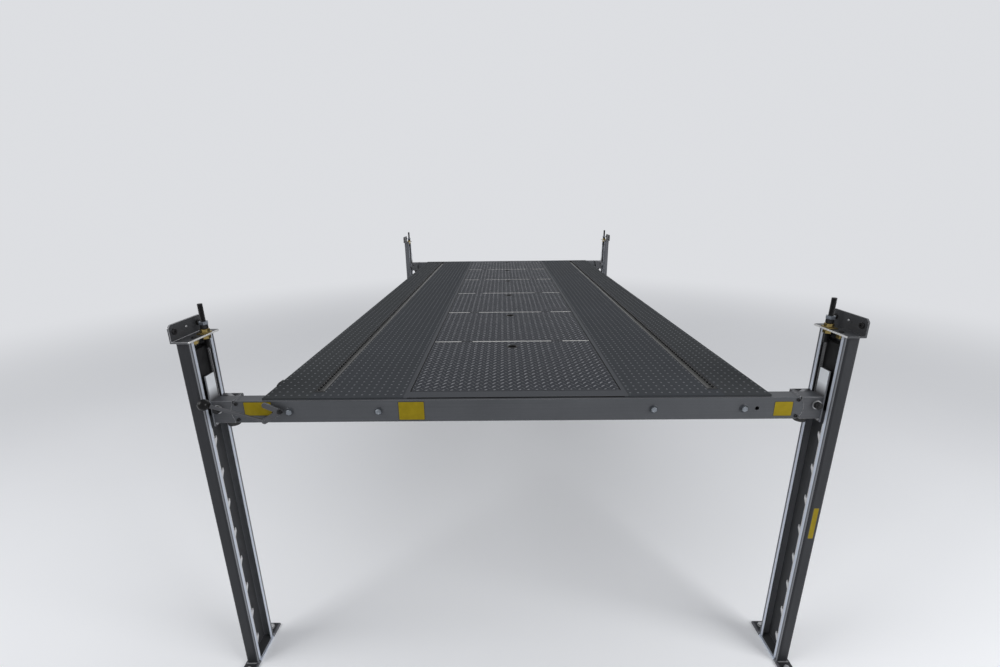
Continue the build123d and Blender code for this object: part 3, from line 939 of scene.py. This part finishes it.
# Runways: tread plate folded down at the deck's outer edge, with small round raised dots in
# straight rows. The plate is dull grey and a little warmer outside where wheels run, with a painted
# shadow beside the tracks, and the dots' tops are rubbed.
dot_first = (-903.9 * mm, -1854.5 * mm)
dot_pitch = (28.7 * mm, 30.8 * mm)
dot_counts = (18, 122)
wheel_path_x = 748 * mm
track_x = 727.9 * mm
track_half = 19 * mm
track_end = 1826.2 * mm
deck_top = 1220 * mm
tread_grey = drawn_metal(
    "tread_grey", (0.036, 0.039, 0.044), (0.079, 0.085, 0.096), 0.72, "Y", 0.04, 2 * mm, 240 * mm,
    shine=0.02,
)
wheel_path = tread_grey.cloud(900 * mm, 2.0) * 0.4 + (tread_grey.across() > wheel_path_x) * 0.35
tread_grey.tone = tread_grey.blend(wheel_path, tread_grey.tone, (0.050, 0.053, 0.052))
off_track = abs(tread_grey.across() - track_x)
# A painted shadow darkens the plate right beside each track.
track_side_shadow = (off_track < track_half + 1.6 * mm) * (tread_grey.across("Y") < track_end + 2 * mm)
tread_grey.stain(track_side_shadow, (0.010, 0.010, 0.011))
dot_metal = drawn_metal(
    "dot_rubbed", (0.07, 0.073, 0.080), (0.17, 0.176, 0.19), 0.50, "Y", 0.2, 1 * mm, 240 * mm,
    shine=0.15,
)
for side in ("left", "right"):
    frame["nodes"][f"runway_{side}"].material_slots[0].material = tread_grey.material


def in_rows(piece, pitches, counts):
    """Repeats a raised mark in rows along and across the plate."""
    repeat(piece, counts[0], (pitches[0], 0, 0))
    repeat(piece, counts[1], (0, pitches[1], 0))


def drop_marks(piece, unwanted):
    """Takes off the marks that would stand where a test on their place says."""
    pick(piece, "VERT", lambda point: unwanted(point.co))
    bpy.ops.mesh.select_linked()
    bpy.ops.mesh.delete(type="VERT")
    shut()


def over_track(place):
    """Whether a mark stands over the tie-down track."""
    beside = abs(abs(place.x) - track_x) < track_half + 1 * mm
    return beside and abs(place.y) < track_end + 1 * mm


dot = turned([(4.2, -0.3), (4.0, 0.2), (3.0, 1.0), (1.6, 1.3)], 8)
dot.location = (*dot_first, deck_top)
settle(dot)
in_rows(dot, dot_pitch, dot_counts)
drop_marks(dot, over_track)
right_dots = turned_over(dot, -1, 1)
finish_off(dot, "runway_left_dots", "platform", "tread_plate", dot_metal, spread=50)
finish_off(right_dots, "runway_right_dots", "platform", "tread_plate", dot_metal, spread=50)

# Tie-down tracks: aluminium channels let into the runways, painted lighter inside as painted light
# and dark along the top as painted shade, with a row of teeth along the outer wall that a wheel
# chock's foot catches, painted dark as the notches' shade, and a black moulded plug in each end.
tooth_x = 741.1 * mm
tooth_first = -1793 * mm
tooth_z = 1215.4 * mm
tooth_size = (6 * mm, 12 * mm, 7 * mm)
tooth_pitch = 23.1 * mm
tooth_count = 156
plug_y = track_end - 9 * mm
plug_z = 1213.2 * mm
plug_size = (31.6 * mm, 12 * mm, 12.6 * mm)
track_stock = drawn_metal(
    "track_bright", (0.14, 0.14, 0.137), (0.31, 0.31, 0.304), 0.46, "Y", 0.3, shine=0.3
)
track_edge = drawn_metal(
    "track_edge", (0.010, 0.010, 0.011), (0.028, 0.029, 0.031), 0.5, "Y", 0.2, shine=0.1
)
# Painted shade along the top, over metal that is painted lighter as painted light for the channel's
# inside.
track_stock.stain(track_stock.place_on("Z") > deck_top - 1.5 * mm, (0.018, 0.018, 0.019))
for side in ("left", "right"):
    eased(
        f"track_{side}", "channel", "platform", "bright_aluminium", 0.5 * mm, track_stock,
        track_edge,
    )
# The teeth are painted dark as the shade in the notches between them.
for side, name in ((-1, "left"), (1, "right")):
    teeth = eased_block((side * tooth_x, tooth_first, tooth_z), tooth_size, 1 * mm, 1)
    repeat(teeth, tooth_count, (0, tooth_pitch, 0))
    finish_off(teeth, f"track_{name}_teeth", "platform", "bright_aluminium", track_edge)
plugs = [eased_block(where, plug_size, 2 * mm) for where, _ in at_corners(track_x, plug_y, plug_z)]
finish_off(joined(plugs), "track_plugs", "platform", "black_plastic", nylon)

# Centre frame: a plain satin aluminium rim round the six panels, with ledges that they lie on.
# The gaps on both sides of the rim are painted dark, as painted shade.
rim_inner_x = 390 * mm
rim_outer_x = 406.4 * mm
gap_shade = (0.006, 0.006, 0.0065)
rim_stock = drawn_metal(
    "rim_satin", (0.036, 0.0385, 0.044), (0.078, 0.083, 0.093), 0.62, "Y", 0.15, shine=0.1
)
rim_edge = drawn_metal(
    "rim_edge", (0.060, 0.062, 0.067), (0.13, 0.134, 0.143), 0.5, "Y", 0.3, shine=0.15
)
below_top = rim_stock.place_on("Z") < deck_top - 1 * mm
rim_stock.stain((rim_stock.across() < rim_inner_x + 0.2 * mm) * below_top, gap_shade)
rim_edge.stain(rim_edge.across() > rim_outer_x - 2.5 * mm, gap_shade)
eased("centre_frame", "rim", "platform", "frame_aluminium", 0.8 * mm, rim_stock, rim_edge)

# Centre panels: six lift-out tread plates with raised diamond bars, one way bold and painted
# lighter as a highlight, the other way low, each with a black finger cup near its rear edge. Cut
# edges are painted bright as light seen through the joints, and dark over the two bearers as
# painted shade.
panel_count = 6
panel_pitch = 609.6 * mm
panel_half = 385 * mm
panel_front = -1823.8 * mm
panel_length = 599.6 * mm
bearer_span = (197 * mm, 253 * mm)
cut_foot = deck_top - 6 * mm
bar_inset = 1.2 * mm
bar_pitch = (31.7 * mm, 32.1 * mm)
bar_counts = (25, 19)
bold_first = (-397.1 * mm, -1821 * mm)
hole_radius = 22.5 * mm
hole_y = panel_front + panel_length - 80 * mm
panel_grey = drawn_metal(
    "panel_grey", (0.029, 0.031, 0.036), (0.066, 0.070, 0.080), 0.66, "X", 0.05, 2 * mm, 200 * mm,
    shine=0.03,
)
cut_edge_painted_light = drawn_metal(
    "panel_cut_edge", (0.30, 0.30, 0.29), (1.0, 0.99, 0.96), 0.42, "X", 0.2, 2 * mm, 260 * mm,
)
# Painted light on the cut edges, and painted shade over the bearers.
bearer_painted_shade = (cut_edge_painted_light.across() > bearer_span[0]) * (cut_edge_painted_light.across() < bearer_span[1])
cut_edge_painted_light.stain(bearer_painted_shade, (0.05, 0.05, 0.052))
# The bold bars' tops are rubbed, and painted lighter than the low bars as a painted highlight.
bar_metal_highlit = drawn_metal(
    "bar_rubbed_highlit", (0.045, 0.047, 0.053), (0.24, 0.245, 0.26), 0.28, "X", 0.5, 1 * mm, 160 * mm,
    shine=0.25,
)
for index in range(panel_count):
    panel = f"panel_{index + 1}"
    plate = eased(panel, "plate", panel, "tread_plate", 0.9 * mm, panel_grey, rim_edge)
    if index:
        repaint(plate, cut_edge_painted_light, lambda face: face.normal.y < -0.5 and face.center.z > cut_foot)


def bars(first, lean, length, width, height, stock):
    """Rows of raised bars, sized in mm, that lean one way, over the first panel."""
    bar = turned([(1, -0.3), (1, 0.1), (0.62, height)], 8)
    bar.scale = (length / 2, width / 2, 1)
    bar.rotation_euler = (0, 0, math.radians(lean))
    bar.location = (*first, deck_top)
    settle(bar)
    in_rows(bar, bar_pitch, bar_counts)
    bar.data.materials.append(stock.material)
    return bar


def trim(piece, point, normal):
    """Cuts a piece off flush at a plane, on the side that its normal points to."""
    alone(piece)
    open_up()
    bpy.ops.mesh.bisect(plane_co=point, plane_no=normal, use_fill=True, clear_outer=True)
    shut()


def by_the_hole(place):
    """Whether a mark reaches the finger hole of the first panel."""
    return math.hypot(place.x, place.y - hole_y) < hole_radius + 4.5 * mm


low_first = (bold_first[0] + bar_pitch[0] / 2, bold_first[1] + bar_pitch[1] / 2)
pattern = joined([
    bars(bold_first, 47, 24, 6.0, 1.3, bar_metal_highlit),
    bars(low_first, -47, 20, 4.4, 0.7, rim_edge),
])
drop_marks(pattern, by_the_hole)
for side in (1, -1):
    trim(pattern, (side * (panel_half - bar_inset), 0, 0), (side, 0, 0))
trim(pattern, (0, panel_front + bar_inset, 0), (0, -1, 0))
trim(pattern, (0, panel_front + panel_length - bar_inset, 0), (0, 1, 0))
cup_plastic = moulded(
    "finger_cup", (0.004, 0.004, 0.004), (0.014, 0.014, 0.014), 10 * mm, 0.15, 0.35, detail=4.0
)
cup = turned([
    (18, -11), (21, -10.4), (22.2, -9), (22.2, 0), (27, 0), (26.4, 1.1), (20.4, 1.1), (19.6, 0),
    (19.6, -8), (18, -9.2),
], 36)
cup.location = (0, hole_y, deck_top)
settle(cup)
cup.data.materials.append(cup_plastic.material)
for source, name, slot in (
    (pattern, "bars", "tread_plate"), (cup, "finger_cup", "black_plastic")
):
    for index in range(panel_count):
        copy = copied(source)
        copy.location = (0, index * panel_pitch, 0)
        panel = f"panel_{index + 1}"
        finish_off(copy, f"{panel}_{name}", panel, slot, spread=50)
    bpy.data.objects.remove(source)

# Drive: a black hydraulic cylinder lies under the left runway and pulls the cables. A folded
# aluminium cover is screwed up under it.
cylinder_foot = (-649.9 * mm, -1591 * mm, 1152.3 * mm)
cylinder_length = 1300
barrel_length = 780
rod_start = barrel_length - 3
cover_screw_rows = (-776 * mm, -523 * mm)
cover_screw_first = -1671 * mm
cover_screw_pitch = 332 * mm
cover_screw_count = 6
cover_z = 1131 * mm
cylinder_paint = drawn_metal(
    "cylinder_paint", (0.012, 0.012, 0.013), (0.04, 0.04, 0.042), 0.3, "Y", 0.2, 3 * mm, 90 * mm,
)
rod_chrome = drawn_metal("rod_chrome", (0.5, 0.5, 0.51), (0.75, 0.75, 0.76), 0.16, "X", 1.0)
barrel = turned([
    (11, 0), (12, 1.5), (12, 30), (17, 30), (18.4, 32), (18.4, 52), (16.6, 53),
    (16.6, barrel_length - 40), (18.6, barrel_length - 39), (18.6, barrel_length - 4),
    (16, barrel_length), (10.2, barrel_length), (10.2, barrel_length - 2),
], 28)
ram = turned([
    (9.8, rod_start), (9.8, cylinder_length - 46), (15, cylinder_length - 44),
    (15, cylinder_length - 2), (13, cylinder_length),
], 24)
for piece in (barrel, ram):
    piece.rotation_euler = (-math.pi / 2, 0, 0)
    piece.location = cylinder_foot
finish_off(
    barrel, "cylinder_barrel", "platform", "dark_steel", cylinder_paint,
    nodes=["hydraulic_cylinder"],
)
finish_off(ram, "cylinder_ram", "platform", "bright_steel", rod_chrome)
eased("drive_cover", "sheet", "platform", "frame_aluminium", 1.2 * mm, rail_stock)
cover_screws = [
    ((x, cover_screw_first + step * cover_screw_pitch, cover_z), (math.pi, 0, 0))
    for x in cover_screw_rows for step in range(cover_screw_count)
]
finish_off(
    set_out(hex_bolt(8, 2.2, 7, 0.8), cover_screws), "cover_screws", "platform", "bright_steel",
    bolt_steel,
)

# Release lever: a dark flat steel bell crank on the front beam's left end, on a shouldered
# pivot, with a round rod out to a black moulded ball.
lever_pivot = (-842 * mm, -1909 * mm, 1181 * mm)
knob_centre = Vector((-1074 * mm, -1955 * mm, 1232 * mm))
heel_centre = Vector((-903 * mm, -1906 * mm, 1143 * mm))
ball_radius = 19.9
ball_neck = 9
ball_steps = [math.radians(-64 + step * 13.4) for step in range(1, 12)]
lever_paint = drawn_metal(
    "lever_paint", (0.045, 0.046, 0.05), (0.11, 0.112, 0.12), 0.4, "X", 0.5, 2 * mm, 40 * mm,
)
eased("release_lever", "arm", "platform", "dark_steel", 0.8 * mm, lever_paint, box_edge)
pivot_bolt = hex_bolt(15, 5, 10, 1.6, 4)
pivot_bolt.location = lever_pivot
pivot_bolt.rotation_euler = (math.pi / 2, 0, 0)
finish_off(pivot_bolt, "lever_pivot_bolt", "platform", "dark_steel", black_oxide)
ball_gloss = moulded(
    "ball_gloss", (0.003, 0.003, 0.003), (0.009, 0.009, 0.009), 6 * mm, 0.15, 0.12, 0.2, 6.0
)
ball_rings = [(ball_radius * math.cos(turn), ball_radius * math.sin(turn)) for turn in ball_steps]
knob = turned([(ball_neck, 1.2 - ball_radius), *ball_rings, (2, ball_radius)], 32)
knob.rotation_euler = (knob_centre - heel_centre).to_track_quat("Z", "Y").to_euler()
knob.location = knob_centre
finish_off(
    knob, "lever_knob_ball", "platform", "black_plastic", ball_gloss, nodes=["lever_knob"],
    spread=60,
)

# Hydraulic port: a bent aluminium shelf on the deck's left edge with a black quick coupling,
# turned with grooves at the front and hex at the back.
port_place = (-928.4 * mm, -1730.2 * mm, 1204 * mm)
port_length = 45
eased("port_bracket", "shelf", "platform", "frame_aluminium", 0.8 * mm, rail_stock)
coupling = turned([
    (7, 0), (7.6, 1), (7.6, 12), (9.4, 13), (9.4, 15), (8.6, 16), (9.8, 17.5), (9.8, 29),
    (8.8, 30), (8.8, 33),
], 24)
coupling_hex = turned([(9.2, 33), (9.9, 34), (9.9, 44), (9.2, port_length)], 6)
port = joined([coupling, coupling_hex])
port.rotation_euler = (-math.pi / 2, 0, 0)
port.location = port_place
finish_off(port, "port_coupling", "platform", "dark_steel", black_oxide, nodes=["port_fitting"])

# Studio: a plain pale floor that keeps the lift's shadow and runs out into an even pale
# surround, and three soft lamps.
bpy.context.scene.view_settings.view_transform = "Standard"
surround_colour = (0.95, 0.965, 1.0)
surround_seen = 0.76
surround_light = 0.36
floor_glow = 0.13
floor_near = 3.2
floor_far = 9.0
floor_paint = Finish("floor_paint", 0.0, 0.85, 0.0)
floor_drift = floor_paint.cloud(1.5, 3.0)
reach = floor_paint.node("VectorMath", {"operation": "LENGTH"}, {0: floor_paint.place}, 1)
runs_out = floor_paint.node(
    "MapRange", {"interpolation_type": "SMOOTHSTEP"},
    {"Value": reach, "From Min": floor_near, "From Max": floor_far},
)


def seen_rays(finish):
    """The rays that show a thing: straight, in gloss and through glass."""
    kinds = ("Camera", "Glossy", "Transmission")
    return [finish.node("LightPath", {}, {}, f"Is {kind} Ray") for kind in kinds]


camera_ray, glossy_ray, clear_ray = seen_rays(floor_paint)
lit = floor_paint.blend(floor_drift, (0.82, 0.83, 0.85), (0.86, 0.87, 0.89))
far_glow, near_glow = (
    tuple(level * channel for channel in surround_colour) for level in (surround_seen, floor_glow)
)
shown = floor_paint.blend(runs_out, near_glow, far_glow)
floor_paint.feed(
    Base_Color=floor_paint.blend(runs_out, lit, (0, 0, 0)),
    Emission_Color=floor_paint.blend(camera_ray + glossy_ray + clear_ray, (0, 0, 0), shown),
)
floor_paint.shader.inputs["Emission Strength"].default_value = 1
put_down()
bpy.ops.mesh.primitive_circle_add(vertices=96, radius=90, fill_type="NGON", location=(0, 0, 0))
floor = bpy.context.object
floor.name = "studio_floor"
floor.data.materials.append(floor_paint.material)


class Surround(Finish):
    """The even light all round the lift, built up node by node as a finish is."""

    def __init__(self, name):
        self.world = bpy.data.worlds.new(name)
        self.world.use_nodes = True
        self.tree = self.world.node_tree
        self.shader = self.tree.nodes["Background"]
        self.shader.inputs["Color"].default_value = (*surround_colour, 1)


sky = Surround("studio_surround")
bpy.context.scene.world = sky.world
camera_ray, glossy_ray, clear_ray = seen_rays(sky)
seen = sky.node("Math", {"operation": "MAXIMUM"}, {0: camera_ray, 1: clear_ray})
backdrop = sky.node("Math", {"operation": "MAXIMUM"}, {0: seen, 1: glossy_ray})
light_span = {"To Min": surround_light, "To Max": surround_seen}
sky.feed(Strength=sky.node("MapRange", {}, {"Value": backdrop, **light_span}))
for name, where, aim, size, power in (
    ("lamp_rear", (0.5, 4.2, 4.6), (0, 0.3, 1.2), 3.5, 35),
    ("lamp_left", (-4.2, -3.2, 3.8), (0, -1.2, 1.0), 2.6, 100),
    ("lamp_right", (3.8, -4.0, 2.8), (0, -1.2, 0.9), 2.6, 120),
):
    bpy.ops.object.light_add(type="AREA", location=where)
    lamp = bpy.context.object
    lamp.name = name
    lamp.data.size = size
    lamp.data.energy = power
    lamp.rotation_euler = (Vector(aim) - Vector(where)).to_track_quat("-Z", "Y").to_euler()

# Camera: ahead of the deck and above it, with a wide lens, looking down along it.
camera_place = (-41.4 * mm, -3361.8 * mm, 1895.4 * mm)
pitch, yaw, roll = math.radians(16.498), math.radians(0.478), math.radians(0.643)
sensor_width = 36
lens_share = 0.44978
camera_data = bpy.data.cameras.new("camera")
camera = bpy.data.objects.new("camera", camera_data)
bpy.context.scene.collection.objects.link(camera)
camera_data.sensor_width = sensor_width
camera_data.lens = sensor_width * lens_share
camera_data.clip_start = 0.05
camera_data.clip_end = 200
ahead = Vector((
    -math.sin(yaw) * math.cos(pitch), math.cos(yaw) * math.cos(pitch), -math.sin(pitch)
))
level_right = ahead.cross(Vector((0, 0, 1))).normalized()
level_up = level_right.cross(ahead)
right = math.cos(roll) * level_right - math.sin(roll) * level_up
up = math.sin(roll) * level_right + math.cos(roll) * level_up
turned_camera = Matrix((right, up, -ahead)).transposed().to_4x4()
camera.matrix_world = Matrix.Translation(camera_place) @ turned_camera
bpy.context.scene.camera = camera

put_down()
